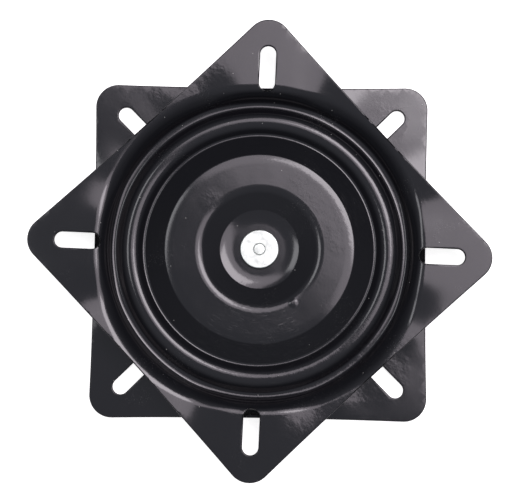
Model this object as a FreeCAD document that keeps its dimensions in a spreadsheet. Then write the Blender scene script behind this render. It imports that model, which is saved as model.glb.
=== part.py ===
import FreeCAD, Part
import math
import os
import Sketcher

# Lazy susan bearing: two square pressed steel plates, face to face, held
# together by one centre rivet and turning on a ring of balls in a cage.
# Millimetres, +Z up. The origin is on the axis of rotation, on the surface
# that the lower plate rests on. X and Y run through the lower plate's corner
# slots, and the upper plate is turned to the angle of the photograph.

# Driving dimensions
SIZES = [
    ("plate_side", 203.0, "side of a plate between its sharp corners"),
    ("side_bow", 1.4, "inward draw of a side at its middle"),
    ("corner_round", 13.5, "radius of the plate corners"),
    ("sheet_gauge", 2.5, "thickness of the sheet"),
    ("stack_height", 25.0, "lower mounting face to upper mounting face"),
    ("valley_gap", 1.5, "gap between the plates at hub and valleys"),
    ("plateau_drop", 2.5, "plateau ring below the mounting face"),
    ("pitch_radius", 76.2, "circle of the ball centres, under the ridge"),
    ("hub_share", 0.2756, "end of the hub's floor, as a share of the pitch radius"),
    ("hub_bend", 6.0, "bend from the hub floor up to the plateau"),
    ("plateau_start_share", 0.5066, "start of the plateau's flat, likewise"),
    ("plateau_start_bend", 13.0, "bend from the hub wall to the plateau"),
    ("plateau_end_share", 0.7087, "end of the plateau's flat, likewise"),
    ("plateau_end_bend", 6.0, "bend from the plateau down to the valley"),
    ("ridge_bend", 9.5, "bend over the ridge"),
    ("ridge_bend_share", 0.934, "share of each flank of the ridge that its bends may take"),
    ("valley_bend", 1.5, "bend in the bottom of each valley"),
    ("lip_bend", 12.5, "bend from the outer wall to the flange"),
    ("lip_bend_share", 0.884, "share of the outer wall that its bends may take"),
    ("slot_inset", 35.7, "sharp corner of the plate to the middle of its slot"),
    ("slot_length", 27.0, "slot from end to end"),
    ("slot_width", 9.5, "slot across"),
    ("upper_turn", 43.2, "degrees that the upper plate is turned"),
    ("ball_diameter", 9.525, "steel ball, three eighths of an inch"),
    ("ball_count", 24, "balls in the ring"),
    ("race_play", 0.05, "ball to race"),
    ("cage_gauge", 1.2, "thickness of the ball cage"),
    ("pocket_play", 0.15, "ball to cage pocket"),
    ("cage_rim", 1.4, "cage pocket to the rim of the cage"),
    ("shank_diameter", 12.0, "rivet shank"),
    ("bore_play", 0.08, "rivet shank to the upper plate's bore"),
    ("axial_play", 0.05, "rivet head to the upper plate"),
    ("head_diameter", 23.3, "rivet head"),
    ("head_height", 2.8, "rivet head"),
    ("head_edge", 0.8, "rounding of the head's edge"),
    ("mark_radius", 3.4, "ring mark on the rivet head"),
    ("mark_width", 0.6, "ring mark across"),
    ("mark_depth", 0.2, "ring mark"),
    ("tail_diameter", 20.0, "rivet tail, formed on the lower plate"),
    ("tail_height", 2.6, "rivet tail"),
    ("tail_edge", 1.6, "rounding of the tail's edge"),
    ("washer_diameter", 30.0, "washer between the plates"),
]

QUARTER_TURNS = 4
FULL_TURN = 360.0
NEAR = 1e-4
VALLEY = 1
CREST = -1

# Heights above the plane midway between the plates, as sheet expressions
MID = "(Sizes.stack_height / 2)"
FLOOR_UNDER = "(Sizes.valley_gap / 2)"
FLOOR_TOP = f"({FLOOR_UNDER} + Sizes.sheet_gauge)"
PLATEAU_TOP = f"({MID} - Sizes.plateau_drop)"
RIDGE_TOP = "(Sizes.ball_diameter / 2 + Sizes.race_play + Sizes.sheet_gauge)"


def wall_run(rise, bend, share):
    """Level length of a wall that starts in a valley.

    With no straight part, its two bends would take all the room that its rise
    and run leave for them. Here they take the given share of that room.
    """
    bends = f"(Sizes.valley_bend + {bend})"
    return f"sqrt(2 * {rise} * {bends} / {share} - {rise}^2)"


# Radii, as sheet expressions
BLANK_RADIUS = "(Sizes.plate_side * 0.75)"
CORNER_REACH = "(Sizes.plate_side / sqrt(2))"
SIDE_ARC = "(((Sizes.plate_side / 2)^2 + Sizes.side_bow^2) / (2 * Sizes.side_bow))"
SLOT_RADIUS = f"({CORNER_REACH} - Sizes.slot_inset)"
HUB_FLAT = "(Sizes.pitch_radius * Sizes.hub_share)"
PLATEAU_START = "(Sizes.pitch_radius * Sizes.plateau_start_share)"
PLATEAU_END = "(Sizes.pitch_radius * Sizes.plateau_end_share)"
RIDGE_RUN = wall_run(f"({RIDGE_TOP} - {FLOOR_TOP})", "Sizes.ridge_bend", "Sizes.ridge_bend_share")
LIP_RUN = wall_run(f"({MID} - {FLOOR_TOP})", "Sizes.lip_bend", "Sizes.lip_bend_share")
INNER_VALLEY = f"(Sizes.pitch_radius - {RIDGE_RUN})"
OUTER_VALLEY = f"(Sizes.pitch_radius + {RIDGE_RUN})"
LIP_FLAT = f"({OUTER_VALLEY} + {LIP_RUN})"

# Bends of the pressing, from the middle outwards: radius at which the sheet is
# level, height of its upper face there, bend radius of that face, and its side
BENDS = [
    (HUB_FLAT, FLOOR_TOP, "Sizes.hub_bend", VALLEY),
    (PLATEAU_START, PLATEAU_TOP, "Sizes.plateau_start_bend", CREST),
    (PLATEAU_END, PLATEAU_TOP, "Sizes.plateau_end_bend", CREST),
    (INNER_VALLEY, FLOOR_TOP, "Sizes.valley_bend", VALLEY),
    ("Sizes.pitch_radius", RIDGE_TOP, "Sizes.ridge_bend", CREST),
    (OUTER_VALLEY, FLOOR_TOP, "Sizes.valley_bend", VALLEY),
    (LIP_FLAT, MID, "Sizes.lip_bend", CREST),
]


def make_sheet(doc):
    """Spreadsheet with one named cell for each driving dimension."""
    sheet = doc.addObject("Spreadsheet::Sheet", "Sizes")
    for row, (name, size, meaning) in enumerate(SIZES, start=1):
        sheet.set(f"A{row}", name)
        sheet.set(f"B{row}", str(size))
        sheet.set(f"C{row}", meaning)
        sheet.setAlias(f"B{row}", name)
    doc.recompute()
    return sheet


def number(sheet, expression):
    """Present value of a sheet expression."""
    found = sheet.evalExpression(expression)
    return float(getattr(found, "Value", found))


def new_body(doc, label):
    body = doc.addObject("PartDesign::Body", label)
    body.Label = label
    return body


def new_sketch(body, name, role):
    """Sketch on one of the body's own origin planes."""
    sketch = body.newObject("Sketcher::SketchObject", name)
    plane = [item for item in body.Origin.OriginFeatures if item.Role == role][0]
    sketch.AttachmentSupport = [(plane, "")]
    sketch.MapMode = "FlatFace"
    return sketch


def origin_axis(body, role):
    return [item for item in body.Origin.OriginFeatures if item.Role == role][0]


def bind(sketch, constraint, expression):
    """Adds a dimension whose value follows the sheet."""
    index = sketch.addConstraint(constraint)
    sketch.setExpression(f"Constraints[{index}]", expression)


def add_circle(sketch, sheet, radius, centre="0"):
    """Circle on the sketch's horizontal axis."""
    place = FreeCAD.Vector(number(sheet, centre), 0, 0)
    normal = FreeCAD.Vector(0, 0, 1)
    size = number(sheet, radius)
    circle = sketch.addGeometry(Part.Circle(place, normal, size), False)
    if centre == "0":
        sketch.addConstraint(Sketcher.Constraint("Coincident", circle, 3, -1, 1))
    else:
        sketch.addConstraint(Sketcher.Constraint("PointOnObject", circle, 3, -1))
        bind(sketch, Sketcher.Constraint("DistanceX", -1, 1, circle, 3, place.x), centre)
    bind(sketch, Sketcher.Constraint("Radius", circle, size), radius)
    return circle


def add_profile(sketch, sheet, corners):
    """Closed section with straight edges through corners (radius, height)."""
    spots = []
    for radius, height in corners:
        spots.append(FreeCAD.Vector(number(sheet, radius), number(sheet, height), 0))
    edges = []
    for start, end in zip(spots, spots[1:] + spots[:1]):
        edges.append(sketch.addGeometry(Part.LineSegment(start, end), False))
    for edge, following in zip(edges, edges[1:] + edges[:1]):
        sketch.addConstraint(Sketcher.Constraint("Coincident", edge, 2, following, 1))
    for edge, (radius, height), spot in zip(edges, corners, spots):
        if radius == "0":
            sketch.addConstraint(Sketcher.Constraint("PointOnObject", edge, 1, -2))
        else:
            bind(sketch, Sketcher.Constraint("DistanceX", -1, 1, edge, 1, spot.x), radius)
        if height == "0":
            sketch.addConstraint(Sketcher.Constraint("PointOnObject", edge, 1, -1))
        else:
            bind(sketch, Sketcher.Constraint("DistanceY", -1, 1, edge, 1, spot.y), height)


def bend_geometry(sheet):
    """Centres and signed radii of the bends, and the slope of each run between."""
    centres = []
    turns = []
    for radius, height, bend, side in BENDS:
        size = side * number(sheet, bend)
        centres.append(FreeCAD.Vector(number(sheet, radius), number(sheet, height) + size, 0))
        turns.append(size)
    slopes = [0.0]
    for index in range(len(centres) - 1):
        step = centres[index + 1] - centres[index]
        lean = math.asin((turns[index + 1] - turns[index]) / step.Length)
        slopes.append(math.atan2(step.y, step.x) - lean)
    slopes.append(0.0)
    return centres, turns, slopes


def add_face(sketch, sheet, depth, ends):
    """One face of the sheet: runs joined by bends, at a depth below the upper face.

    Returns its first and last run, and its arcs, all in the direction outwards.
    """
    centres, turns, slopes = bend_geometry(sheet)
    arcs = []
    spots = []
    for centre, turn, start, end in zip(centres, turns, slopes, slopes[1:]):
        size = turn + depth
        for slope in (start, end):
            step = FreeCAD.Vector(math.sin(slope), -math.cos(slope), 0)
            spots.append(centre + step * size)
        circle = Part.Circle(centre, FreeCAD.Vector(0, 0, 1), abs(size))
        quarter = math.copysign(math.pi / 2, size)
        angles = sorted((start - quarter, end - quarter))
        arcs.append(sketch.addGeometry(Part.ArcOfCircle(circle, *angles), False))
    spots.insert(0, FreeCAD.Vector(ends[0], spots[0].y, 0))
    spots.append(FreeCAD.Vector(ends[1], spots[-1].y, 0))
    runs = []
    for start, end in zip(spots[::2], spots[1::2]):
        runs.append(sketch.addGeometry(Part.LineSegment(start, end), False))
    for run, arc, following, turn in zip(runs, arcs, runs[1:], turns):
        first, last = (1, 2) if turn > 0 else (2, 1)
        sketch.addConstraint(Sketcher.Constraint("Tangent", run, 2, arc, first))
        sketch.addConstraint(Sketcher.Constraint("Tangent", arc, last, following, 1))
    sketch.addConstraint(Sketcher.Constraint("Horizontal", runs[0]))
    sketch.addConstraint(Sketcher.Constraint("Horizontal", runs[-1]))
    return runs[0], runs[-1], arcs


def pressed_section(sketch, sheet, bore):
    """Section of the pressing. Both faces of each bend turn about one centre."""
    ends = (number(sheet, bore), number(sheet, BLANK_RADIUS))
    gauge = number(sheet, "Sizes.sheet_gauge")
    top_in, top_out, tops = add_face(sketch, sheet, 0, ends)
    under_in, under_out, unders = add_face(sketch, sheet, gauge, ends)
    centres, turns, _ = bend_geometry(sheet)
    for (radius, height, bend, side), top, under, centre in zip(BENDS, tops, unders, centres):
        sign = "+" if side == VALLEY else "-"
        size = abs(number(sheet, bend))
        bind(sketch, Sketcher.Constraint("DistanceX", -1, 1, top, 3, centre.x), radius)
        bind(sketch, Sketcher.Constraint("DistanceY", -1, 1, top, 3, centre.y), f"{height} {sign} {bend}")
        bind(sketch, Sketcher.Constraint("Radius", top, size), bend)
        sketch.addConstraint(Sketcher.Constraint("Coincident", top, 3, under, 3))
        under_size = f"{bend} {sign} Sizes.sheet_gauge"
        bind(sketch, Sketcher.Constraint("Radius", under, size + side * gauge), under_size)
    for top, under, end, place in ((top_in, under_in, 1, bore), (top_out, under_out, 2, BLANK_RADIUS)):
        spots = [sketch.getPoint(face, end) for face in (top, under)]
        closing = sketch.addGeometry(Part.LineSegment(*spots), False)
        sketch.addConstraint(Sketcher.Constraint("Coincident", top, end, closing, 1))
        sketch.addConstraint(Sketcher.Constraint("Coincident", under, end, closing, 2))
        sketch.addConstraint(Sketcher.Constraint("Vertical", closing))
        bind(sketch, Sketcher.Constraint("DistanceX", -1, 1, top, end, number(sheet, place)), place)


def revolve(body, sketch):
    """Full turn of a section about the body's Z axis."""
    turn = body.newObject("PartDesign::Revolution", f"{body.Label}_turn")
    turn.Profile = sketch
    turn.ReferenceAxis = (sketch, ["V_Axis"])
    turn.Angle = FULL_TURN
    body.Document.recompute()
    return turn


def ring_edges(shape, sheet, spots):
    """Names of the full circles at the given radii and heights."""
    wanted = [(number(sheet, radius), number(sheet, height)) for radius, height in spots]
    names = []
    for index, edge in enumerate(shape.Edges, start=1):
        if not isinstance(edge.Curve, Part.Circle) or not edge.Closed:
            continue
        for radius, height in wanted:
            same_size = abs(edge.Curve.Radius - radius) < NEAR
            if same_size and abs(edge.Curve.Center.z - height) < NEAR:
                names.append(f"Edge{index}")
    if len(names) != len(wanted):
        raise RuntimeError(f"{len(names)} of {len(wanted)} ring edges found")
    return names


def round_edges(body, base, names, radius, title):
    """Rounds the named edges of a feature with one radius from the sheet."""
    fillet = body.newObject("PartDesign::Fillet", f"{body.Label}_{title}")
    fillet.Base = (base, names)
    fillet.setExpression("Radius", radius)
    body.Document.recompute()
    return fillet


def cut_through(body, sketch, title):
    """Cuts a sketch through the body both ways, and proves that it cut."""
    volume = body.Shape.Volume
    pocket = body.newObject("PartDesign::Pocket", f"{body.Label}_{title}")
    pocket.Profile = sketch
    pocket.Type = "ThroughAll"
    pocket.Midplane = True
    body.Document.recompute()
    if body.Shape.Volume > volume - NEAR:
        raise RuntimeError(f"{body.Label}_{title} cuts nothing")
    return pocket


def polar_pattern(body, feature, count, title):
    """Repeats a feature about the body's Z axis."""
    pattern = body.newObject("PartDesign::PolarPattern", f"{body.Label}_{title}")
    pattern.Originals = [feature]
    pattern.Axis = (origin_axis(body, "Z_Axis"), [""])
    pattern.Angle = FULL_TURN
    if isinstance(count, str):
        pattern.setExpression("Occurrences", count)
    else:
        pattern.Occurrences = count
    body.Tip = pattern
    body.Document.recompute()
    return pattern


def plate_outline(body, sheet):
    """Everything outside the square with drawn-in sides and sharp corners."""
    sketch = new_sketch(body, f"{body.Label}_outline", "XY_Plane")
    add_circle(sketch, sheet, f"({BLANK_RADIUS} + Sizes.sheet_gauge)")
    reach = number(sheet, CORNER_REACH)
    size = number(sheet, SIDE_ARC)
    bow = number(sheet, "Sizes.side_bow")
    middle = number(sheet, "Sizes.plate_side") / 2 - bow
    sides = []
    for turn in range(QUARTER_TURNS):
        corners = []
        for step in (turn, turn + 1):
            angle = math.radians(90 * step)
            corners.append(FreeCAD.Vector(reach * math.cos(angle), reach * math.sin(angle), 0))
        angle = math.radians(90 * turn + 45)
        inner = FreeCAD.Vector(middle * math.cos(angle), middle * math.sin(angle), 0)
        arc = Part.Arc(corners[0], inner, corners[1])
        sides.append(sketch.addGeometry(arc, False))
    for turn, side in enumerate(sides):
        # An arc is stored anticlockwise about its centre, outside the plate
        following = sides[(turn + 1) % QUARTER_TURNS]
        sketch.addConstraint(Sketcher.Constraint("Coincident", side, 1, following, 2))
        bind(sketch, Sketcher.Constraint("Radius", side, size), SIDE_ARC)
    # Corners on the axes, opposite corners the same way out
    sketch.addConstraint(Sketcher.Constraint("PointOnObject", sides[0], 2, -1))
    bind(sketch, Sketcher.Constraint("DistanceX", -1, 1, sides[0], 2, reach), CORNER_REACH)
    sketch.addConstraint(Sketcher.Constraint("PointOnObject", sides[0], 1, -2))
    bind(sketch, Sketcher.Constraint("DistanceY", -1, 1, sides[0], 1, reach), CORNER_REACH)
    sketch.addConstraint(Sketcher.Constraint("Symmetric", sides[0], 2, sides[2], 2, -1, 1))
    sketch.addConstraint(Sketcher.Constraint("Symmetric", sides[0], 1, sides[2], 1, -1, 1))
    return sketch


def corner_edges(shape, reach):
    """Names of the upright edges at the plate's four sharp corners."""
    names = []
    for index, edge in enumerate(shape.Edges, start=1):
        start = edge.Vertexes[0].Point
        end = edge.Vertexes[-1].Point
        upright = abs(start.x - end.x) < NEAR and abs(start.y - end.y) < NEAR
        far_out = abs(math.hypot(start.x, start.y) - reach) < NEAR
        if upright and far_out and abs(start.z - end.z) > NEAR:
            names.append(f"Edge{index}")
    if len(names) != QUARTER_TURNS:
        raise RuntimeError(f"{len(names)} plate corners found")
    return names


def slot_sketch(body, sheet):
    """One long hole along X, near a corner of the plate."""
    sketch = new_sketch(body, f"{body.Label}_slot_shape", "XY_Plane")
    radius = number(sheet, "Sizes.slot_width") / 2
    middle = number(sheet, SLOT_RADIUS)
    half = number(sheet, "Sizes.slot_length") / 2 - radius
    ends = []
    for centre, angle in ((middle + half, -math.pi / 2), (middle - half, math.pi / 2)):
        circle = Part.Circle(FreeCAD.Vector(centre, 0, 0), FreeCAD.Vector(0, 0, 1), radius)
        arc = Part.ArcOfCircle(circle, angle, angle + math.pi)
        ends.append(sketch.addGeometry(arc, False))
    outer, inner = ends
    top = sketch.addGeometry(Part.LineSegment(
        FreeCAD.Vector(middle + half, radius, 0), FreeCAD.Vector(middle - half, radius, 0)), False)
    bottom = sketch.addGeometry(Part.LineSegment(
        FreeCAD.Vector(middle - half, -radius, 0), FreeCAD.Vector(middle + half, -radius, 0)), False)
    for pair in ((outer, 2, top, 1), (top, 2, inner, 1), (inner, 2, bottom, 1), (bottom, 2, outer, 1)):
        sketch.addConstraint(Sketcher.Constraint("Tangent", *pair))
    spacing = "(Sizes.slot_length - Sizes.slot_width) / 2"
    for end, side in ((outer, "+"), (inner, "-")):
        place = f"{SLOT_RADIUS} {side} {spacing}"
        sketch.addConstraint(Sketcher.Constraint("PointOnObject", end, 3, -1))
        bind(sketch, Sketcher.Constraint("DistanceX", -1, 1, end, 3, number(sheet, place)), place)
    bind(sketch, Sketcher.Constraint("Radius", outer, radius), "Sizes.slot_width / 2")
    return sketch


def pressed_plate(doc, sheet, label, bore):
    """One plate, above the plane midway between the two, corners on X and Y."""
    body = new_body(doc, label)
    section = new_sketch(body, f"{label}_section", "XZ_Plane")
    pressed_section(section, sheet, bore)
    revolve(body, section)
    trim = cut_through(body, plate_outline(body, sheet), "trim")
    names = corner_edges(trim.Shape, number(sheet, CORNER_REACH))
    round_edges(body, trim, names, "Sizes.corner_round", "corners")
    slot = cut_through(body, slot_sketch(body, sheet), "slot")
    polar_pattern(body, slot, QUARTER_TURNS, "slots")
    body.setExpression("Placement.Base.z", MID)
    return body


def upper_plate(doc, sheet):
    """Plate that carries the turning load, free on the rivet."""
    body = pressed_plate(doc, sheet, "upper_plate", "(Sizes.shank_diameter / 2 + Sizes.bore_play)")
    body.Placement.Rotation = FreeCAD.Rotation(FreeCAD.Vector(0, 0, 1), 0)
    body.setExpression("Placement.Rotation.Angle", "Sizes.upper_turn")


def lower_plate(doc, sheet):
    """The same pressing upside down, held by the rivet."""
    body = pressed_plate(doc, sheet, "lower_plate", "(Sizes.shank_diameter / 2)")
    placed = body.Placement
    placed.Rotation = FreeCAD.Rotation(FreeCAD.Vector(1, 0, 0), 180)
    body.Placement = placed


def centre_rivet(doc, sheet):
    """Solid rivet: tail formed under the lower plate, wide flat head on top."""
    body = new_body(doc, "centre_rivet")
    seat = "Sizes.tail_height"
    grip = f"({seat} + 2 * {FLOOR_TOP} + Sizes.axial_play)"
    top = f"({grip} + Sizes.head_height)"
    mark_in = "(Sizes.mark_radius - Sizes.mark_width / 2)"
    mark_out = "(Sizes.mark_radius + Sizes.mark_width / 2)"
    mark_floor = f"({top} - Sizes.mark_depth)"
    corners = [
        ("0", "0"),
        ("(Sizes.tail_diameter / 2)", "0"),
        ("(Sizes.tail_diameter / 2)", seat),
        ("(Sizes.shank_diameter / 2)", seat),
        ("(Sizes.shank_diameter / 2)", grip),
        ("(Sizes.head_diameter / 2)", grip),
        ("(Sizes.head_diameter / 2)", top),
        (mark_out, top),
        (mark_out, mark_floor),
        (mark_in, mark_floor),
        (mark_in, top),
        ("0", top),
    ]
    section = new_sketch(body, "centre_rivet_section", "XZ_Plane")
    add_profile(section, sheet, corners)
    turn = revolve(body, section)
    names = ring_edges(turn.Shape, sheet, [corners[6]])
    head = round_edges(body, turn, names, "Sizes.head_edge", "head_edge")
    names = ring_edges(head.Shape, sheet, [corners[1]])
    round_edges(body, head, names, "Sizes.tail_edge", "tail_edge")
    body.setExpression("Placement.Base.z", f"{MID} - {FLOOR_TOP} - Sizes.tail_height")


def flat_ring(doc, sheet, label, radii, thickness, bottom):
    """Flat ring between two radii, its underside at the given height."""
    body = new_body(doc, label)
    sketch = new_sketch(body, f"{label}_shape", "XY_Plane")
    for radius in radii:
        add_circle(sketch, sheet, radius)
    pad = body.newObject("PartDesign::Pad", f"{label}_pad")
    pad.Profile = sketch
    pad.setExpression("Length", thickness)
    doc.recompute()
    body.setExpression("Placement.Base.z", bottom)
    return body


def spacer_washer(doc, sheet):
    """Washer on the shank that keeps the two hubs apart."""
    flat_ring(
        doc, sheet, "spacer_washer",
        ("Sizes.washer_diameter / 2", "Sizes.shank_diameter / 2 + Sizes.bore_play"),
        "Sizes.valley_gap - Sizes.axial_play",
        f"{MID} - {FLOOR_UNDER}")


def ball_cage(doc, sheet):
    """Thin ring that spaces the balls, level with their centres."""
    pocket_radius = "(Sizes.ball_diameter / 2 + Sizes.pocket_play)"
    reach = f"({pocket_radius} + Sizes.cage_rim)"
    body = flat_ring(
        doc, sheet, "ball_cage",
        (f"Sizes.pitch_radius + {reach}", f"Sizes.pitch_radius - {reach}"),
        "Sizes.cage_gauge",
        f"{MID} - Sizes.cage_gauge / 2")
    sketch = new_sketch(body, "ball_cage_pocket_shape", "XY_Plane")
    add_circle(sketch, sheet, pocket_radius, "Sizes.pitch_radius")
    pocket = cut_through(body, sketch, "pocket")
    polar_pattern(body, pocket, "Sizes.ball_count", "pockets")


def balls(doc, sheet):
    """Steel balls, one in each pocket, the first on the X axis."""
    count = int(number(sheet, "Sizes.ball_count"))
    for index in range(count):
        label = f"ball_{index + 1:02d}"
        ball = doc.addObject("Part::Sphere", label)
        ball.Label = label
        angle = f"({FULL_TURN} * {index} / Sizes.ball_count)"
        ball.setExpression("Radius", "Sizes.ball_diameter / 2")
        ball.setExpression("Placement.Base.x", f"Sizes.pitch_radius * cos({angle})")
        ball.setExpression("Placement.Base.y", f"Sizes.pitch_radius * sin({angle})")
        ball.setExpression("Placement.Base.z", MID)


def sub_parts(doc):
    """The objects that are pieces of the bearing, by label."""
    kinds = ("PartDesign::Body", "Part::Sphere")
    return [item for item in doc.Objects if item.TypeId in kinds]


def check(doc):
    """Stops on a failed feature or a shape that is not one valid solid."""
    for item in doc.Objects:
        if "Invalid" in item.State or "Error" in item.State:
            raise RuntimeError(f"{item.Label} failed: {item.State}")
    for piece in sub_parts(doc):
        shape = piece.Shape
        if shape.isNull() or not shape.isValid() or len(shape.Solids) != 1:
            raise RuntimeError(f"{piece.Label} is not one valid solid")


def write(doc):
    """One STEP file for each piece, named after it."""
    os.makedirs("parts", exist_ok=True)
    for piece in sub_parts(doc):
        piece.Shape.exportStep(f"parts/{piece.Label}.step")
        box = piece.Shape.BoundBox
        print(f"{piece.Label}: {piece.Shape.Volume:.1f} mm3, z {box.ZMin:.2f} to {box.ZMax:.2f}")


def main():
    doc = FreeCAD.newDocument("lazy_susan_bearing")
    sheet = make_sheet(doc)
    lower_plate(doc, sheet)
    upper_plate(doc, sheet)
    centre_rivet(doc, sheet)
    spacer_washer(doc, sheet)
    ball_cage(doc, sheet)
    balls(doc, sheet)
    doc.recompute()
    check(doc)
    write(doc)


main()
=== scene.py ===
# %% [markdown]
# # A lazy susan bearing, dressed for a studio photograph
# Two square plates are pressed from the same die, laid back to back and held by one
# rivet. A ring of steel balls lets the upper one turn. The frame that is loaded here
# says where every piece lies and which body carries it. This file gives each piece a
# smooth surface, rounded edges and a finish.

# %% Load the frame
import math
import bmesh
import bpy
from mathutils import Matrix, Vector


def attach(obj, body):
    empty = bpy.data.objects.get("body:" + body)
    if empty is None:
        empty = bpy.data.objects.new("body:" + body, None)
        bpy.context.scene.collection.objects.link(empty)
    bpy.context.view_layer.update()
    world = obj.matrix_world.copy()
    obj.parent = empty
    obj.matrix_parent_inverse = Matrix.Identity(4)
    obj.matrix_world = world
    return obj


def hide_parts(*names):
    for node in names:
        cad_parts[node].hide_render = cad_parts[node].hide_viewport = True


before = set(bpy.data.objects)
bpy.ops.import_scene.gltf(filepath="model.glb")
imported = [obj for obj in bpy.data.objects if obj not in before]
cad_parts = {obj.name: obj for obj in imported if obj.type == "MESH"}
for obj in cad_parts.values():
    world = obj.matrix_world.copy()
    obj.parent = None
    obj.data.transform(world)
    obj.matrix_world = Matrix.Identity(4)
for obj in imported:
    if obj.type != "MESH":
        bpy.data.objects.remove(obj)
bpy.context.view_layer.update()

# %% [markdown]
# ## Sizes of the pressing
# The plate is one sheet of steel, so a single line drawn from the middle outwards
# describes its upper face, and the lower face follows at the sheet's thickness. The
# levels of that line follow from the sheet, the balls and the height of the stack, all
# in millimetres, so they are worked out here and not typed in.

# %% Sizes
MM = 0.001
PLATE_SIDE = 203.0
GAUGE = 2.5
STACK = 25.0
VALLEY_GAP = 1.5
PLATEAU_DROP = 2.5
BALL = 9.525
RACE_PLAY = 0.2
SHANK = 12.0
BORE_PLAY = 0.08
MID = STACK / 2
FLOOR_TOP = VALLEY_GAP / 2 + GAUGE
PLATEAU_TOP = MID - PLATEAU_DROP
RIDGE_TOP = BALL / 2 + RACE_PLAY + GAUGE
print("levels: floor", FLOOR_TOP, "plateau", PLATEAU_TOP, "ridge", RIDGE_TOP, "lip", MID)

# %% [markdown]
# ## Places of the bends
# Paint this glossy shows every bend as a bright line, so the lines in the photograph
# say where the bends lie. They ask for a little more than the plain solid has: a
# shallow dish round the rivet, a second small bend at the rim of the plateau, and a
# ridge and valleys about a millimetre further out, with the balls still clear.

# %% Bends
VALLEY = 1
CREST = -1
DISH_START, DISH_BEND = 15.0, 32.0
DISH_RIM, DISH_RIM_BEND, DISH_RISE = 22.7, 2.5, 1.02
PLATEAU_START, PLATEAU_START_BEND = 38.6, 13.0
PLATEAU_END, PLATEAU_END_BEND = 50.5, 36.0
PLATEAU_RIM, PLATEAU_RIM_BEND, PLATEAU_SAG = 55.2, 3.0, 0.33
INNER_VALLEY, INNER_VALLEY_BEND, INNER_VALLEY_RISE = 68.6, 2.2, 0.6
RIDGE, RIDGE_BEND = 76.9, 9.0
OUTER_VALLEY, OUTER_VALLEY_BEND = 86.4, 3.4
LIP, LIP_BEND = 98.6, 9.0
# Each bend: radius and height where the sheet is level, bend radius, and its side
BENDS = [
    (DISH_START, FLOOR_TOP, DISH_BEND, VALLEY),
    (DISH_RIM, FLOOR_TOP + DISH_RISE, DISH_RIM_BEND, VALLEY),
    (PLATEAU_START, PLATEAU_TOP, PLATEAU_START_BEND, CREST),
    (PLATEAU_END, PLATEAU_TOP, PLATEAU_END_BEND, CREST),
    (PLATEAU_RIM, PLATEAU_TOP - PLATEAU_SAG, PLATEAU_RIM_BEND, CREST),
    (INNER_VALLEY, FLOOR_TOP + INNER_VALLEY_RISE, INNER_VALLEY_BEND, VALLEY),
    (RIDGE, RIDGE_TOP, RIDGE_BEND, CREST),
    (OUTER_VALLEY, FLOOR_TOP, OUTER_VALLEY_BEND, VALLEY),
    (LIP, MID, LIP_BEND, CREST)]
print("bends in the section", len(BENDS))

# %% [markdown]
# ## Drawing the section
# A press rounds every bend, so the line is straight runs joined by arcs. Each sample
# keeps its direction as well as its place. With the direction known, the other face
# of the sheet is a step to the right of travel, and the wall keeps its thickness
# through every bend, as a real pressing very nearly does.

# %% Section helpers
BEND_STEPS = 6
BEND_STEP_LENGTH = 2.0
FLANGE_STEPS = 8


def arc_samples(centre, turn, start, end, steps):
    """Samples (radius, height, direction) along an arc. Its radius is signed."""
    samples = []
    for step in range(steps + 1):
        angle = start + (end - start) * step / steps
        across = centre[0] + turn * math.sin(angle)
        height = centre[1] - turn * math.cos(angle)
        samples.append((across, height, angle))
    return samples


def bent_line(bends, start_radius, end_radius):
    """Samples of the sheet's upper face: runs that touch each bend's arc."""
    centres = [(radius, height + side * bend) for radius, height, bend, side in bends]
    turns = [side * bend for _, _, bend, side in bends]
    slopes = [0.0]
    for near, far, turn, following in zip(centres, centres[1:], turns, turns[1:]):
        bearing = math.atan2(far[1] - near[1], far[0] - near[0])
        slopes.append(bearing - math.asin((following - turn) / math.dist(near, far)))
    slopes.append(0.0)
    samples = [(start_radius, bends[0][1], 0.0)]
    for centre, turn, start, end in zip(centres, turns, slopes, slopes[1:]):
        steps = BEND_STEPS + round(abs(turn * (end - start)) / BEND_STEP_LENGTH)
        samples += arc_samples(centre, turn, start, end, steps)
    level, height = bends[-1][:2]
    for step in range(1, FLANGE_STEPS + 1):
        samples.append((level + (end_radius - level) * step / FLANGE_STEPS, height, 0.0))
    return samples


# %% [markdown]
# The whole upper face is then one list: hub floor, wall up to the plateau, wall down
# to the inner valley, ridge, outer valley, wall up to the lip, flange. The blank is
# left round for now and wider than the square that will be cut from it.

# %% Both faces of the plate
BLANK_SHARE = 0.75
upper_face = bent_line(BENDS, SHANK / 2 + BORE_PLAY, PLATE_SIDE * BLANK_SHARE)
lower_face = [(r + GAUGE * math.sin(a), z - GAUGE * math.cos(a)) for r, z, a in upper_face]
plate_section = [(r, z) for r, z, _ in upper_face] + lower_face[::-1]
print("points in the plate's section", len(plate_section))

# %% [markdown]
# ## Turning and cutting
# A spin of the closed section gives the pressed blank in one step. The press then
# shears it to a square and punches the slots, so the mesh does the same with boolean
# cuts. Small helpers make objects from bmesh data, run a cut on them, and round the
# sheared edges. Points that lie closer together than half that rounding are welded
# first, because they would tear the bevel. Blender's operators may number the same
# faces in another order on the next run, and a cut or a weld follows that order. So
# each mesh is written with its faces sorted, and every run gives the same shape.

# %% Mesh helpers
ROUND_STEPS = 240
SPIN_WELD = 0.001
STEEP = 50
FACE_WEIGHT = 90


def settled_faces(shape):
    """Faces as vertex numbers, in an order that is the same on every run."""
    shape.verts.index_update()
    faces = []
    for face in shape.faces:
        numbers = [corner.index for corner in face.verts]
        first = numbers.index(min(numbers))
        faces.append(numbers[first:] + numbers[:first])
    return sorted(faces)


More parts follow.
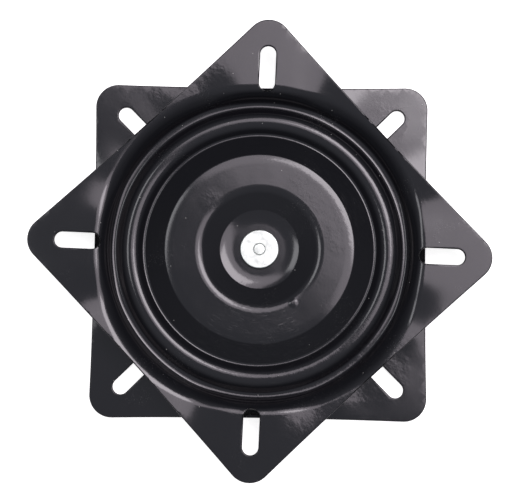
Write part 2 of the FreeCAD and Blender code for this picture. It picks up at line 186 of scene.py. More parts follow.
def finish_mesh(name, shape):
    """Turns a bmesh into an object at the origin with its faces outward."""
    bmesh.ops.recalc_face_normals(shape, faces=shape.faces)
    mesh = bpy.data.meshes.new(name)
    mesh.from_pydata([corner.co for corner in shape.verts], [], settled_faces(shape))
    shape.free()
    made = bpy.data.objects.new(name, mesh)
    bpy.context.scene.collection.objects.link(made)
    return made


def spin_section(shape, section, closed=True, steps=ROUND_STEPS):
    """Adds a section, in millimetres, turned fully about the Z axis."""
    points = [shape.verts.new((across * MM, 0, height * MM)) for across, height in section]
    pairs = list(zip(points, points[1:]))
    if closed:
        pairs.append((points[-1], points[0]))
    lines = [shape.edges.new(pair) for pair in pairs]
    bmesh.ops.spin(
        shape, geom=points + lines, cent=(0, 0, 0), axis=(0, 0, 1), dvec=(0, 0, 0),
        angle=2 * math.pi, steps=steps, use_merge=True)
    bmesh.ops.remove_doubles(shape, verts=shape.verts, dist=SPIN_WELD * MM)


def cut(target, cutter, operation):
    """Runs one exact boolean on the target and removes the cutter."""
    step = target.modifiers.new("cut", "BOOLEAN")
    step.operation = operation
    step.solver = "EXACT"
    step.object = cutter
    view = bpy.context.evaluated_depsgraph_get()
    result = bpy.data.meshes.new_from_object(target.evaluated_get(view))
    target.modifiers.clear()
    target.data = result
    bpy.data.objects.remove(cutter)


def steep_edges(shape):
    """Edges whose two faces meet more steeply than any bend of the sheet."""
    least = math.radians(STEEP)
    return [edge for edge in shape.edges if edge.is_manifold and edge.calc_face_angle() > least]


def soften_edges(made, width, segments=2):
    """Rounds the sheared edges, which are the only ones that meet steeply."""
    shape = bmesh.new()
    shape.from_mesh(made.data)
    steep = {corner for edge in steep_edges(shape) for corner in edge.verts}
    corners = [corner for corner in shape.verts if corner in steep]
    bmesh.ops.remove_doubles(shape, verts=corners, dist=width / 2 * MM)
    bmesh.ops.bevel(
        shape, geom=steep_edges(shape), offset=width * MM, offset_type="OFFSET",
        segments=segments, profile=0.5, affect="EDGES", material=-1, clamp_overlap=False)
    shape.to_mesh(made.data)
    shape.free()


def smooth_surface(made):
    """Smooth shading, with each vertex leaning on its largest faces."""
    made.data.shade_smooth()
    weigh = made.modifiers.new("even_shading", "WEIGHTED_NORMAL")
    weigh.weight = FACE_WEIGHT
    print(made.name, "faces", len(made.data.polygons))


# %% [markdown]
# ## Outline and slots
# The square isn't quite square. Sheet that is drawn into a deep ring pulls its edges
# inward, so each side is a very shallow arc. The outline is walked round with spins of
# one vertex: round a corner, then along a side about a centre far outside the plate.
# A slot is the hull of the circles at its two ends. Both cutters are plain prisms,
# taller than the plate.

# %% Outline cutter
QUARTERS = 4
QUARTER_TURN = 90
SIDE_BOW = 1.4
CORNER_ROUND = 13.5
CORNER_STEPS = 16
SIDE_STEPS = 12
OUTLINE_WELD = 0.01


def only_vertices(items):
    """The vertices among what an operator returns."""
    return [item for item in items if isinstance(item, bmesh.types.BMVert)]


def outline_cutter():
    """Prism with the plate's outline, its corners on the X and Y axes."""
    half = PLATE_SIDE / 2
    side_arc = (half ** 2 + SIDE_BOW ** 2) / (2 * SIDE_BOW)
    far = (side_arc + half - SIDE_BOW) * math.sqrt(0.5)
    corner_out = far - math.sqrt((side_arc + CORNER_ROUND) ** 2 - far ** 2)
    lean = math.atan2(far, far - corner_out)
    shape = bmesh.new()
    start = Vector((
        corner_out + CORNER_ROUND * math.cos(lean), -CORNER_ROUND * math.sin(lean), -STACK))
    walker = shape.verts.new(start * MM)
    for quarter in range(QUARTERS):
        turned = Matrix.Rotation(math.radians(QUARTER_TURN * quarter), 3, "Z")
        corner = turned @ Vector((corner_out, 0, 0))
        outside = turned @ Vector((far, far, 0))
        arcs = ((corner, 2 * lean, CORNER_STEPS), (outside, math.pi / 2 - 2 * lean, SIDE_STEPS))
        for centre, angle, steps in arcs:
            walked = bmesh.ops.spin(
                shape, geom=[walker], cent=centre * MM, axis=(0, 0, 1), dvec=(0, 0, 0),
                angle=angle, steps=steps, use_merge=False)
            walker = only_vertices(walked["geom_last"])[0]
    bmesh.ops.remove_doubles(shape, verts=shape.verts, dist=OUTLINE_WELD * MM)
    bmesh.ops.contextual_create(shape, geom=shape.edges)
    raised = bmesh.ops.extrude_face_region(shape, geom=shape.faces)
    tops = only_vertices(raised["geom"])
    bmesh.ops.translate(shape, verts=tops, vec=(0, 0, 2 * STACK * MM))
    return finish_mesh("outline_cutter", shape)


# %% Slot cutter
SLOT_RADIUS = 107.84
SLOT_LENGTH = 27.0
SLOT_WIDTH = 9.5
CIRCLE_STEPS = 40


def slot_cutter():
    """The four punched slots of a plate as upright prisms."""
    shape = bmesh.new()
    reach = (SLOT_LENGTH - SLOT_WIDTH) / 2
    for quarter in range(QUARTERS):
        turned = Matrix.Rotation(math.radians(QUARTER_TURN * quarter), 4, "Z")
        rims = []
        for along in (SLOT_RADIUS - reach, SLOT_RADIUS + reach):
            for height in (-STACK, STACK):
                place = turned @ Matrix.Translation(Vector((along, 0, height)) * MM)
                rim = bmesh.ops.create_circle(
                    shape, cap_ends=False, segments=CIRCLE_STEPS,
                    radius=SLOT_WIDTH / 2 * MM, matrix=place)
                rims += rim["verts"]
        bmesh.ops.convex_hull(shape, input=rims, use_existing_faces=False)
    inner = [corner for corner in shape.verts if not corner.link_faces]
    bmesh.ops.delete(shape, geom=inner, context="VERTS")
    loose = [edge for edge in shape.edges if not edge.link_faces]
    bmesh.ops.delete(shape, geom=loose, context="EDGES")
    return finish_mesh("slot_cutter", shape)


# %% [markdown]
# ## The two plates
# The photograph shows two things that a plain spin can't give. Between the corners the
# lip runs a little further out, and the flange there tips towards the middle: it is
# dark on the lamp's side and bright on the far side. Both are a shift of the spun
# points, which is nothing at the corners and leaves the plate's own edge at its height.

# %% Lip and flange
WALL_FOOT = 86.5
WALL_RUN = 14.0
LIP_SPREAD = 2.6
FLANGE_TILT = 0.145
TILT_RUN = 8.0
TILT_START = 0.06
TILT_RISE = 0.54


def smooth_share(value, low, run):
    """Share from 0 at low to 1 after the run, level at both ends."""
    share = min(max((value - low) / run, 0.0), 1.0)
    return share ** 2 * (3 - 2 * share)


def spread_lip(shape):
    """Carries the lip outwards between the corners and tilts the flange there."""
    for corner in shape.verts:
        radius = corner.co.xy.length / MM
        turned = QUARTERS * math.atan2(corner.co.y, corner.co.x)
        between = (1 - math.cos(turned)) / 2
        off_middle = math.acos(-math.cos(turned)) / QUARTERS
        side = PLATE_SIDE / 2 / math.cos(off_middle)
        moved = radius + LIP_SPREAD * between * smooth_share(radius, WALL_FOOT, WALL_RUN)
        tilt = FLANGE_TILT * smooth_share(between, TILT_START, TILT_RISE)
        corner.co.z += tilt * MM * smooth_share(radius, WALL_FOOT, TILT_RUN) * (moved - side)
        corner.co.xy *= moved / radius


# %% [markdown]
# Both plates come from one die, so one mesh is cut and then copied: one copy is turned
# to its angle in the photograph, the other is laid on its back. The place goes into
# the mesh, because each finished object stays at the origin.

# %% Pressed plates
UPPER_TURN = 43.2
EDGE_ROUND = 0.7


def pressed_plate():
    """One plate above the middle plane, its corners on the X and Y axes."""
    shape = bmesh.new()
    spin_section(shape, plate_section)
    spread_lip(shape)
    made = finish_mesh("upper_pressing", shape)
    cut(made, outline_cutter(), "INTERSECT")
    cut(made, slot_cutter(), "DIFFERENCE")
    soften_edges(made, EDGE_ROUND, segments=3)
    return made


upper_pressing = pressed_plate()
lower_pressing = upper_pressing.copy()
lower_pressing.data = upper_pressing.data.copy()
lower_pressing.name = "lower_pressing"
bpy.context.scene.collection.objects.link(lower_pressing)
lift = Matrix.Translation((0, 0, MID * MM))
upper_pressing.data.transform(lift @ Matrix.Rotation(math.radians(UPPER_TURN), 4, "Z"))
lower_pressing.data.transform(lift @ Matrix.Rotation(math.pi, 4, "X"))
smooth_surface(upper_pressing)
smooth_surface(lower_pressing)

# %% [markdown]
# ## Rivet
# The rivet is turned from one line: a tail formed below, a shank, and a wide head with
# the faint ring that the riveting tool leaves. The line is given by its corners, and an
# arc at each corner stands for the rounding that the tool leaves there.

# %% Rivet
HEAD = 23.3
HEAD_HEIGHT = 2.8
HEAD_EDGE = 0.8
TAIL = 20.0
TAIL_HEIGHT = 2.6
TAIL_EDGE = 1.6
MARK = 3.4
MARK_WIDTH = 0.6
MARK_DEPTH = 0.2
AXIAL_PLAY = 0.05
EDGE_BREAK = 0.2
EDGE_STEPS = 8
HUB_STEPS = 96


def rounded_line(corners):
    """Outline through corners (radius, height, bend), with an arc at each."""
    line = [corners[0][:2]]
    for before, here, after in zip(corners, corners[1:], corners[2:]):
        start = math.atan2(here[1] - before[1], here[0] - before[0])
        end = math.atan2(after[1] - here[1], after[0] - here[0])
        end -= 2 * math.pi * round((end - start) / (2 * math.pi))
        turn = math.copysign(here[2], end - start)
        reach = here[2] * math.tan(abs(end - start) / 2)
        centre = (
            here[0] - reach * math.cos(start) - turn * math.sin(start),
            here[1] - reach * math.sin(start) + turn * math.cos(start))
        line += [sample[:2] for sample in arc_samples(centre, turn, start, end, EDGE_STEPS)]
    line.append(corners[-1][:2])
    return line


def rivet_line():
    """Half section of the rivet from the bottom of its tail to its face."""
    seat = MID - FLOOR_TOP
    foot = seat - TAIL_HEIGHT
    grip = MID + FLOOR_TOP + AXIAL_PLAY
    face = grip + HEAD_HEIGHT
    mark_bend = MARK_DEPTH / 3
    return rounded_line([
        (0, foot, 0), (TAIL / 2, foot, TAIL_EDGE), (TAIL / 2, seat, EDGE_BREAK / 2),
        (SHANK / 2, seat, EDGE_BREAK / 4), (SHANK / 2, grip, EDGE_BREAK / 4),
        (HEAD / 2, grip, EDGE_BREAK), (HEAD / 2, face, HEAD_EDGE),
        (MARK + MARK_WIDTH / 2, face, mark_bend), (MARK, face - MARK_DEPTH, mark_bend),
        (MARK - MARK_WIDTH / 2, face, mark_bend), (0, face, 0)])


rivet_shape = bmesh.new()
spin_section(rivet_shape, rivet_line(), closed=False, steps=HUB_STEPS)
rivet = finish_mesh("hub_rivet", rivet_shape)
smooth_surface(rivet)

# %% [markdown]
# ## Washer and cage
# The washer is a plain ring between the hubs. The cage is a thin ring with a round
# pocket for each ball. Both are a four-cornered section, spun and then given a small
# edge break, as blanked sheet has after tumbling.

# %% Rings
WASHER = 30.0
WASHER_EDGE = 0.15
PITCH = 76.2
CAGE_WIDTH = 12.62
CAGE_GAUGE = 1.2
CAGE_EDGE = 0.12
BALL_COUNT = 24
POCKET_PLAY = 0.15


def flat_ring(name, inner, outer, bottom, top, steps):
    """Ring with a rectangular section."""
    shape = bmesh.new()
    section = [(inner, bottom), (outer, bottom), (outer, top), (inner, top)]
    spin_section(shape, section, steps=steps)
    return finish_mesh(name, shape)


def ball_place(index):
    """Place of one ball in the ring."""
    turned = Matrix.Rotation(2 * math.pi * index / BALL_COUNT, 4, "Z")
    return turned @ Matrix.Translation(Vector((PITCH, 0, MID)) * MM)


def pocket_cutter():
    """A round prism for each ball of the ring."""
    shape = bmesh.new()
    radius = (BALL / 2 + POCKET_PLAY) * MM
    for index in range(BALL_COUNT):
        bmesh.ops.create_cone(
            shape, cap_ends=True, segments=CIRCLE_STEPS, radius1=radius, radius2=radius,
            depth=BALL * MM, matrix=ball_place(index))
    return finish_mesh("pocket_cutter", shape)


washer_bottom = MID - VALLEY_GAP / 2
washer = flat_ring(
    "hub_washer", SHANK / 2 + BORE_PLAY, WASHER / 2,
    washer_bottom, washer_bottom + VALLEY_GAP - AXIAL_PLAY, HUB_STEPS)
soften_edges(washer, WASHER_EDGE)
smooth_surface(washer)
cage = flat_ring(
    "cage_ring", PITCH - CAGE_WIDTH / 2, PITCH + CAGE_WIDTH / 2,
    MID - CAGE_GAUGE / 2, MID + CAGE_GAUGE / 2, ROUND_STEPS)
cut(cage, pocket_cutter(), "DIFFERENCE")
soften_edges(cage, CAGE_EDGE, segments=1)
smooth_surface(cage)

# %% [markdown]
# ## Balls
# Each ball is its own piece, one to a pocket, and touches neither plate: a race has a
# little play. A sphere from the operator is smooth enough at this size.

# %% Balls
BALL_SEGMENTS = 32
BALL_RINGS = 18
race_balls = []
for index in range(BALL_COUNT):
    ball_shape = bmesh.new()
    bmesh.ops.create_uvsphere(
        ball_shape, u_segments=BALL_SEGMENTS, v_segments=BALL_RINGS,
        radius=BALL / 2 * MM, matrix=ball_place(index))
    race_ball = finish_mesh(f"race_ball_{index + 1:02d}", ball_shape)
    race_ball.data.shade_smooth()
    race_balls.append(race_ball)
print("balls", len(race_balls))

# %% [markdown]
# ## Building finishes from nodes
# A finish is a Principled shader whose colour, roughness and fine relief come from
# noise on the piece's own coordinates, so it turns with the piece. Small helpers keep
# the node trees short. One adds any node, and the others add the few kinds that come
# back often: arithmetic, a ramp, noise, a blend of colours and relief.

# %% Node helpers
def new_finish(name):
    """Material with an empty Principled shader, and its tree."""
    finish = bpy.data.materials.new(name)
    finish.use_nodes = True
    shader = finish.node_tree.nodes["Principled BSDF"]
    return finish, finish.node_tree, shader


def plug(tree, value, socket):
    """Links a socket, or sets a plain value."""
    if isinstance(value, bpy.types.NodeSocket):
        tree.links.new(value, socket)
    else:
        socket.default_value = value


def add_node(tree, kind, settings=(), **inputs):
    """Adds a node, with settings by name and inputs by name."""
    made = tree.nodes.new(kind)
    for key, value in dict(settings).items():
        setattr(made, key, value)
    for key, value in inputs.items():
        plug(tree, value, made.inputs[key.replace("_", " ")])
    return made


def sum_node(tree, operation, *values, clamp=False):
    """Adds arithmetic and returns its result."""
    made = add_node(tree, "ShaderNodeMath", {"operation": operation, "use_clamp": clamp})
    for socket, value in zip(made.inputs, values):
        plug(tree, value, socket)
    return made.outputs["Value"]


def vector_node(tree, operation, vector):
    """Adds vector arithmetic on one vector."""
    return add_node(tree, "ShaderNodeVectorMath", {"operation": operation}, Vector=vector)


def ramp(tree, value, low, high):
    """Smooth step of a value from 0 at low to 1 at high."""
    made = add_node(
        tree, "ShaderNodeMapRange", {"interpolation_type": "SMOOTHSTEP"},
        Value=value, From_Min=low, From_Max=high)
    return made.outputs["Result"]


def noise(tree, place, scale, detail, rough=0.5):
    """Noise value at a place. The scale counts its grains in a metre."""
    made = add_node(
        tree, "ShaderNodeTexNoise", Vector=place, Scale=scale, Detail=detail, Roughness=rough)
    return made.outputs["Fac"]


def mask(tree, place, pattern):
    """Noise cut to a mask. A pattern is scale, detail, roughness, low and high."""
    return ramp(tree, noise(tree, place, *pattern[:3]), *pattern[3:])


def blend_colour(tree, factor, first, second):
    """Colour between two colours."""
    made = tree.nodes.new("ShaderNodeMix")
    made.data_type = "RGBA"
    plug(tree, factor, made.inputs["Factor"])
    plug(tree, first, made.inputs["A"])
    plug(tree, second, made.inputs["B"])
    # The node has a result of every kind, all with the same name
    return [result for result in made.outputs if result.type == "RGBA"][0]


def relief(tree, height, size, under=None):
    """Bump of a size (depth in metres, strength) on top of another relief."""
    depth, strength = size
    made = add_node(tree, "ShaderNodeBump", Height=height, Distance=depth, Strength=strength)
    if under is not None:
        tree.links.new(under, made.inputs["Normal"])
    return made.outputs["Normal"]


# %% [markdown]
# Two more helpers place marks. One bends the coordinates round the axis, for marks that
# run along the rings. The other is a soft round spot at one place on the plate.

# %% Place helpers
def round_place(tree, place, along, outward):
    """Coordinates that follow the rings: along them, and across from the axis."""
    parts = add_node(tree, "ShaderNodeSeparateXYZ", Vector=place)
    flat = add_node(
        tree, "ShaderNodeCombineXYZ", X=parts.outputs["X"], Y=parts.outputs["Y"]).outputs[0]
    radius = vector_node(tree, "LENGTH", flat).outputs["Value"]
    facing = vector_node(tree, "NORMALIZE", flat).outputs[0]
    turned = add_node(tree, "ShaderNodeSeparateXYZ", Vector=facing)
    spread = add_node(
        tree, "ShaderNodeCombineXYZ",
        X=sum_node(tree, "MULTIPLY", turned.outputs["X"], along),
        Y=sum_node(tree, "MULTIPLY", turned.outputs["Y"], along),
        Z=sum_node(tree, "MULTIPLY", radius, outward))
    return spread.outputs[0], radius


def spot(tree, place, mark):
    """Soft round spot. A mark is its place (x, y) and its radius in millimetres."""
    away = vector_node(tree, "MULTIPLY", place)
    away.inputs[1].default_value = (1, 1, 0)
    gap = vector_node(tree, "DISTANCE", away.outputs[0])
    gap.inputs[1].default_value = (mark[0] * MM, mark[1] * MM, 0)
    return ramp(tree, gap.outputs["Value"], mark[2] * MM, mark[2] * MM / 4)


# %% [markdown]
# ## Gloss black paint
# The plates are dipped or sprayed in thin black enamel. Handling adds hairline scuffs
# that run round the plateau, dull patches with a little grey dust in them, and a few
# pale specks. The photograph also shows a dull smudge at one corner of the lower plate.
# Each kind of wear is a mask, and the masks only lighten and roughen one black paint.

# %% Wear of the paint
SCUFF_ROUND = (7.0, 1500.0)
SCUFFS = (1.0, 3.0, 0.6, 0.56, 0.74)
SCUFF_PATCHES = (22.0, 3.0, 0.5, 0.5, 0.68)
PLATEAU_INNER = (0.034, 0.042)
PLATEAU_OUTER = (0.062, 0.055)
PLATEAU_SHARE = 0.75
GRIT = (1700.0, 2.0, 0.5, 0.6, 0.72)
DUST = (34.0, 4.0, 0.6, 0.52, 0.75)
SPECK_CELLS = 210.0
SPECK_EDGE = (0.075, 0.045)
SPECK_CHANCE = (0.84, 0.86)
SMUDGE = (5.7, 121.4, 17.0)
BLOTCHES = (48.0, 2.0, 0.5, 0.49, 0.51)
SCUFF_HAZE = 0.5
SMUDGE_HAZE = 0.3


def scuffed(tree, place):
    """Mask of the hairline scuffs, strongest on the plateau."""
    rings, radius = round_place(tree, place, *SCUFF_ROUND)
    hairlines = mask(tree, rings, SCUFFS)
    patches = mask(tree, place, SCUFF_PATCHES)
    on_plateau = sum_node(
        tree, "MULTIPLY",
        ramp(tree, radius, *PLATEAU_INNER), ramp(tree, radius, *PLATEAU_OUTER))
    share = sum_node(tree, "MULTIPLY_ADD", on_plateau, PLATEAU_SHARE, 1 - PLATEAU_SHARE)
    return sum_node(tree, "MULTIPLY", sum_node(tree, "MULTIPLY", hairlines, patches), share)


def specked(tree, place):
    """Mask of the specks: the middles of a few cells."""
    cells = add_node(
        tree, "ShaderNodeTexVoronoi", Vector=place, Scale=SPECK_CELLS, Randomness=1.0)
    near = ramp(tree, cells.outputs["Distance"], *SPECK_EDGE)
    chance = add_node(tree, "ShaderNodeSeparateColor", Color=cells.outputs["Color"])
    return sum_node(tree, "MULTIPLY", near, ramp(tree, chance.outputs["Red"], *SPECK_CHANCE))


def hazed(tree, place, rubbed):
    """Mask of everything that dulls the paint."""
    dusty = sum_node(tree, "MULTIPLY", mask(tree, place, DUST), mask(tree, place, GRIT))
    haze = sum_node(tree, "MAXIMUM", sum_node(tree, "MULTIPLY", rubbed, SCUFF_HAZE), dusty)
    smudge = sum_node(tree, "MULTIPLY", spot(tree, place, SMUDGE), mask(tree, place, BLOTCHES))
    return sum_node(tree, "MAXIMUM", haze, sum_node(tree, "MULTIPLY", smudge, SMUDGE_HAZE))


# %% [markdown]
# The relief is what makes the reflections look like paint on steel: a fine orange peel,
# slow waves, and faint rings from the press that the paint doesn't hide. The photograph
# shows one dab of thick paint beside the hub and two rippled runs as well. Each layer
# is a bump that lies on the one before.

# %% Relief of the paint
PEEL = (620.0, 1.0)
PEEL_SIZE = (0.00002, 0.35)
WAVES = (70.0, 1.0)
WAVE_SIZE = (0.00012, 0.35)
UNEVEN = (16.0, 2.0, 0.5, 0.48, 0.62)
RUNS = ((-40.6, -0.7, 9.0), (33.3, -37.2, 10.0))
RIPPLES = (240.0, 2.0, 0.6)
RIPPLE_SIZE = (0.00018, 0.4)
DAB = (37.0, -8.1, 3.2)
DAB_SIZE = (0.0004, 0.5)
PRESS_ROUND = (0.6, 900.0)
PRESS_RINGS = (1.0, 2.0)
PRESS_SIZE = (0.00001, 0.4)
SCUFF_SIZE = (0.000006, 0.6)


def paint_relief(tree, place, rubbed):
    """All layers of relief, from the orange peel to the scuffs."""
    layer = relief(tree, noise(tree, place, *PEEL), PEEL_SIZE)
    layer = relief(tree, noise(tree, place, *WAVES), WAVE_SIZE, layer)
    uneven = mask(tree, place, UNEVEN)
    for run in RUNS:
        uneven = sum_node(tree, "MAXIMUM", uneven, spot(tree, place, run))
    ripples = sum_node(tree, "MULTIPLY", noise(tree, place, *RIPPLES), uneven)
    layer = relief(tree, ripples, RIPPLE_SIZE, layer)
    layer = relief(tree, spot(tree, place, DAB), DAB_SIZE, layer)
    press_place, _ = round_place(tree, place, *PRESS_ROUND)
    layer = relief(tree, noise(tree, press_place, *PRESS_RINGS), PRESS_SIZE, layer)
    return relief(tree, rubbed, SCUFF_SIZE, layer)


# %% Paint
PAINT_BLACK = (0.0040, 0.0038, 0.0052, 1)
HAZE_GREY = (0.05, 0.05, 0.05, 1)
SPECK_GREY = (0.22, 0.22, 0.21, 1)
PAINT_ROUGH = 0.09
HAZE_ROUGH = 0.28
UNEVEN_GLOSS = (45.0, 3.0)
UNEVEN_ROUGH = 0.08
PAINT_IOR = 1.52


def black_enamel():
    """The plates' paint: colour, gloss and relief."""
    finish, tree, shader = new_finish("black_enamel")
    place = add_node(tree, "ShaderNodeTexCoord").outputs["Object"]
    rubbed = scuffed(tree, place)
    haze = hazed(tree, place, rubbed)
    colour = blend_colour(tree, haze, PAINT_BLACK, HAZE_GREY)
    colour = blend_colour(tree, specked(tree, place), colour, SPECK_GREY)
    plug(tree, colour, shader.inputs["Base Color"])
    wander = sum_node(tree, "MULTIPLY", noise(tree, place, *UNEVEN_GLOSS), UNEVEN_ROUGH)
    dull = sum_node(tree, "MULTIPLY_ADD", haze, HAZE_ROUGH, wander)
    plug(tree, sum_node(tree, "ADD", dull, PAINT_ROUGH, clamp=True), shader.inputs["Roughness"])
    shader.inputs["IOR"].default_value = PAINT_IOR
    plug(tree, paint_relief(tree, place, rubbed), shader.inputs["Normal"])
    return finish


# %% [markdown]
# ## Bright steel
# The rivet's head is zinc plated and pressed flat by the riveting tool. It shows a pale,
# nearly white face with hairline scratches in every direction and a few dark pits. Four
# noises, each stretched in its own direction, give the scratches. The hidden washer,
# cage and balls are the same finish in other tones.

# %% Bright steel
FIRST_SCRATCHES = (20, 0.012, 0.00018, 0.66)
SHORT_SCRATCHES = (0.009, 0.00015, 0.68)
SHORT_ANGLES = (75, 128, 160)
SCRATCHES = (1.0, 2.0)
SCRATCH_EDGE = 0.08
SCRATCH_SIZE = (0.000006, 0.5)
SCRATCH_TONE = 0.4
SCRATCH_ROUGH = 0.1
CLOUD = (260.0, 4.0, 0.6, 0.35, 0.75)
CLOUD_TONE = 0.5
CLOUD_ROUGH = 0.14
PITS = (1900.0, 1.0, 0.5, 0.74, 0.8)
PIT_SIZE = (-0.00002, 0.5)
PIT_BROWN = (0.12, 0.11, 0.1, 1)


def scratches(tree, place, angle, length, width, least):
    """Thin straight marks at one angle across the piece."""
    turned = add_node(tree, "ShaderNodeMapping", Vector=place)
    turned.inputs["Rotation"].default_value = (0, 0, math.radians(angle))
    turned.inputs["Scale"].default_value = (1 / length, 1 / width, 1 / length)
    marks = noise(tree, turned.outputs[0], *SCRATCHES)
    return ramp(tree, marks, least, least + SCRATCH_EDGE)


def bright_steel(name, colour, dull, rough):
    """Zinc plated or polished steel with scratches and pits."""
    finish, tree, shader = new_finish(name)
    place = add_node(tree, "ShaderNodeTexCoord").outputs["Object"]
    marks = scratches(tree, place, *FIRST_SCRATCHES)
    for angle in SHORT_ANGLES:
        more = scratches(tree, place, angle, *SHORT_SCRATCHES)
        marks = sum_node(tree, "MAXIMUM", marks, more)
    cloud = mask(tree, place, CLOUD)
    pits = mask(tree, place, PITS)
    tone = blend_colour(tree, sum_node(tree, "MULTIPLY", cloud, CLOUD_TONE), colour, dull)
    tone = blend_colour(tree, pits, tone, PIT_BROWN)
    tone = blend_colour(tree, sum_node(tree, "MULTIPLY", marks, SCRATCH_TONE), tone, dull)
    plug(tree, tone, shader.inputs["Base Color"])
    shader.inputs["Metallic"].default_value = 1.0
    roughness = sum_node(tree, "MULTIPLY_ADD", cloud, CLOUD_ROUGH, rough)
    roughness = sum_node(tree, "MULTIPLY_ADD", marks, SCRATCH_ROUGH, roughness)
    plug(tree, roughness, shader.inputs["Roughness"])
    scored = relief(tree, marks, SCRATCH_SIZE)
    plug(tree, relief(tree, pits, PIT_SIZE, scored), shader.inputs["Normal"])
    return finish


# %% [markdown]
# ## Dressing the pieces
# Every new piece rides on the body that carries it and stands for its solid, which is
# hidden. The paint is shared by both plates, and the steels differ in tone.

# %% Finishes
enamel = black_enamel()
rivet_steel = bright_steel(
    "rivet_steel", colour=(0.58, 0.62, 0.57, 1), dull=(0.2, 0.21, 0.2, 1), rough=0.3)
washer_steel = bright_steel(
    "washer_steel", colour=(0.5, 0.5, 0.51, 1), dull=(0.34, 0.34, 0.34, 1), rough=0.32)
cage_steel = bright_steel(
    "cage_steel", colour=(0.42, 0.41, 0.39, 1), dull=(0.26, 0.25, 0.23, 1), rough=0.36)
ball_steel = bright_steel(
    "ball_steel", colour=(0.66, 0.66, 0.68, 1), dull=(0.5, 0.5, 0.52, 1), rough=0.1)
print("finishes", [finish.name for finish in bpy.data.materials])


# %% Bodies and slots
def dress(piece, finish, body, node):
    """Gives a piece its finish, its body and the solid that it stands for."""
    piece.data.materials.clear()
    piece.data.materials.append(finish)
    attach(piece, body)
    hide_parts(node)
    print(piece.name, "stands for", node, "on", body)


dress(upper_pressing, enamel, "turntable", "upper_plate")
dress(lower_pressing, enamel, "base", "lower_plate")
dress(rivet, rivet_steel, "base", "centre_rivet")
dress(washer, washer_steel, "base", "spacer_washer")
dress(cage, cage_steel, "ball_ring", "ball_cage")
for index, race_ball in enumerate(race_balls):
    dress(race_ball, ball_steel, "ball_ring", f"ball_{index + 1:02d}")

# %% [markdown]
# ## Floor
# The photograph looks almost straight down on the bearing, on white. The floor is a
# matt white sheet just under the lower plate. The camera sees a lighter floor than the
# object does, so shadows on the white stay faint and no light is added to the object.

# %% Floor
FLOOR_REACH = 6.0
FLOOR_DROP = 0.00005
FLOOR_WHITE = 0.94
FLOOR_ROUGH = 0.9
FLOOR_LIFT = 0.75
floor_shape = bmesh.new()
bmesh.ops.create_grid(floor_shape, x_segments=1, y_segments=1, size=FLOOR_REACH)
bmesh.ops.translate(floor_shape, verts=floor_shape.verts, vec=(0, 0, -FLOOR_DROP))
floor = finish_mesh("floor", floor_shape)
floor_finish, floor_tree, floor_shader = new_finish("floor_white")
floor_shader.inputs["Base Color"].default_value = (FLOOR_WHITE, FLOOR_WHITE, FLOOR_WHITE, 1)
floor_shader.inputs["Roughness"].default_value = FLOOR_ROUGH
floor_shader.inputs["Specular IOR Level"].default_value = 0.0
floor_rays = add_node(floor_tree, "ShaderNodeLightPath")
floor_lift = sum_node(floor_tree, "MULTIPLY", floor_rays.outputs["Is Camera Ray"], FLOOR_LIFT)
floor_shader.inputs["Emission Color"].default_value = (1, 1, 1, 1)
plug(floor_tree, floor_lift, floor_shader.inputs["Emission Strength"])
floor.data.materials.append(floor_finish)
print("floor reaches", FLOOR_REACH, "m from the axis")

# %% [markdown]
# ## World
# Black gloss shows its surroundings more than its own colour. So the world has one
# look for glossy surfaces, bright overhead and dim at the horizon, and one even level
# for everything else. The camera sees plain white behind the floor.

# %% World
AMBIENT = (0.5, 0.5, 0.5, 1)
WHITE = (1, 1, 1, 1)
ZENITH = 0.5
ZENITH_TINT = (0.95, 0.98, 1.12)
HORIZON = 0.08
HORIZON_TINT = (0.85, 0.95, 1.1)
SKY_RISE = (0.4, 0.98)


def tinted(level, tint):
    """Colour of a level and a tint."""
    return tuple(level * part for part in tint) + (1,)


world = bpy.data.worlds.new("studio")
bpy.context.scene.world = world
world.use_nodes = True
sky = world.node_tree
backdrop = sky.nodes["Background"]
direction = add_node(sky, "ShaderNodeTexCoord").outputs["Generated"]
upward = add_node(sky, "ShaderNodeSeparateXYZ", Vector=direction)
height = ramp(sky, upward.outputs["Z"], *SKY_RISE)
mirrored = blend_colour(sky, height, tinted(HORIZON, HORIZON_TINT), tinted(ZENITH, ZENITH_TINT))
rays = add_node(sky, "ShaderNodeLightPath")
seen = blend_colour(sky, rays.outputs["Is Glossy Ray"], AMBIENT, mirrored)
seen = blend_colour(sky, rays.outputs["Is Camera Ray"], seen, WHITE)
plug(sky, seen, backdrop.inputs["Color"])
print("world", world.name)


# %% [markdown]
# ## Lamps
# A wide soft panel hangs over the upper right half, with its edge across the middle, so
# the flats there are grey and the others nearly black. A smaller panel at the same side
# gives the rings their bright lines, and a third, upper left, the weaker ones across
# them. Directions are counted from the right of the picture, and sizes are in metres.

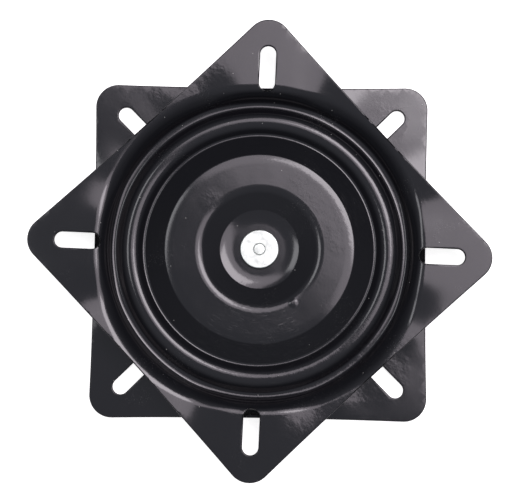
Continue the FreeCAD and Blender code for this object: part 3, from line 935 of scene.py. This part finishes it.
# %% Lamps
PHOTO_RIGHT = 45.83


def soft_panel(name, toward, outward, height, width, depth, radiance, tint):
    """Level rectangular panel, set out from the axis in one direction."""
    data = bpy.data.lights.new(name, "AREA")
    data.shape = "RECTANGLE"
    data.size = width
    data.size_y = depth
    data.energy = radiance * math.pi * width * depth
    data.color = tint
    panel = bpy.data.objects.new(name, data)
    bpy.context.scene.collection.objects.link(panel)
    around = Matrix.Rotation(math.radians(PHOTO_RIGHT + toward), 4, "Z")
    panel.matrix_world = around @ Matrix.Translation((outward, 0, height))
    print(name, "power", round(data.energy, 2))


soft_panel(
    "wide_panel", toward=45, outward=0.765, height=2.0, width=1.2, depth=1.8,
    radiance=2.8, tint=(1.0, 0.9, 0.99))
soft_panel(
    "key_panel", toward=45, outward=0.85, height=1.9, width=0.65, depth=0.9,
    radiance=6.5, tint=(1.0, 0.94, 0.99))
soft_panel(
    "side_panel", toward=158, outward=0.85, height=1.9, width=0.4, depth=0.7,
    radiance=4.0, tint=(0.97, 0.96, 1.0))

# %% [markdown]
# ## Camera
# The camera's place, turn and focal length were fitted to the outlines of both plates
# in the photograph, in a frame whose X axis lies at 45 degrees to this one.

# %% Camera
FOCAL_PIXELS = 1478.0
PHOTO_WIDTH = 515
SENSOR_WIDTH = 36.0
FIT_TURN = 45
CAMERA_PLACE = Vector((8.65, -77.1, 892.8))
CAMERA_TURN = (5.012, 0.567, PHOTO_RIGHT)
lens = bpy.data.cameras.new("camera")
lens.sensor_fit = "HORIZONTAL"
lens.sensor_width = SENSOR_WIDTH
lens.lens = lens.sensor_width * FOCAL_PIXELS / PHOTO_WIDTH
camera = bpy.data.objects.new("camera", lens)
bpy.context.scene.collection.objects.link(camera)
camera.location = Matrix.Rotation(math.radians(FIT_TURN), 3, "Z") @ CAMERA_PLACE * MM
camera.rotation_euler = [math.radians(turn) for turn in CAMERA_TURN]
bpy.context.scene.camera = camera
bpy.context.scene.view_settings.view_transform = "Standard"
print("camera at", [round(value, 3) for value in camera.location])
